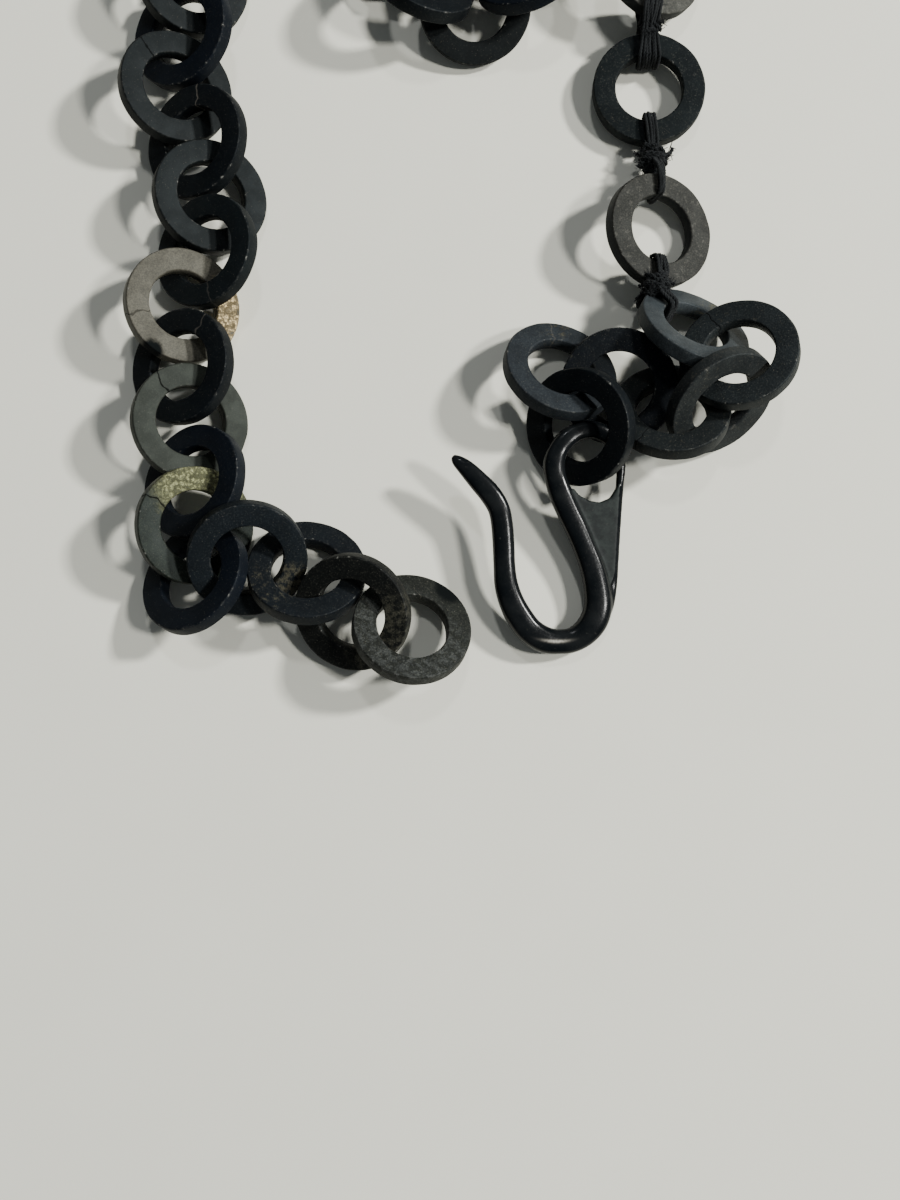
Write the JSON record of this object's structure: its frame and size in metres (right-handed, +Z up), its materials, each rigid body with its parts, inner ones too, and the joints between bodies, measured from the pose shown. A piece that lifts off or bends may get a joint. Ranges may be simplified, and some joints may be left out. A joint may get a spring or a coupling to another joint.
{
  "type": "mourning necklace",
  "caption": "Unfastened chain of flat black rings lying in a long loop, a plain ring at one end, a moulded hook at the other, and thread ties near the hook.",
  "frame": {"origin": "the table point under the middle of the necklace's bounding box", "axes": "+Z up from the table, +Y from the two free ends towards the far bends, +X to the hook's side"},
  "size_m": [0.0942, 0.1547, 0.0125],
  "materials": {
    "worn_gray_ring": "worn satin",
    "black_ring": "satin",
    "black_hook": "satin gloss",
    "black_thread": "matt twisted"
  },
  "bodies": {
    "root": {"end_ring": "worn_gray_ring", "tied_ring_1": "worn_gray_ring", "tied_ring_2": "worn_gray_ring", "tied_ring_3": "worn_gray_ring", "hook_ring_1": "worn_gray_ring", "front_chain": "black_ring", "back_chain": "black_ring", "hook_ring_2": "black_ring", "hook_ring_3": "black_ring", "hook_ring_4": "black_ring", "hook_ring_5": "black_ring", "hook_ring_6": "black_ring", "hook_ring_7": "black_ring", "hook": "black_hook", "thread_tie_1": "black_thread", "thread_tie_2": "black_thread", "thread_tie_3": "black_thread"}
  },
  "joints": []
}
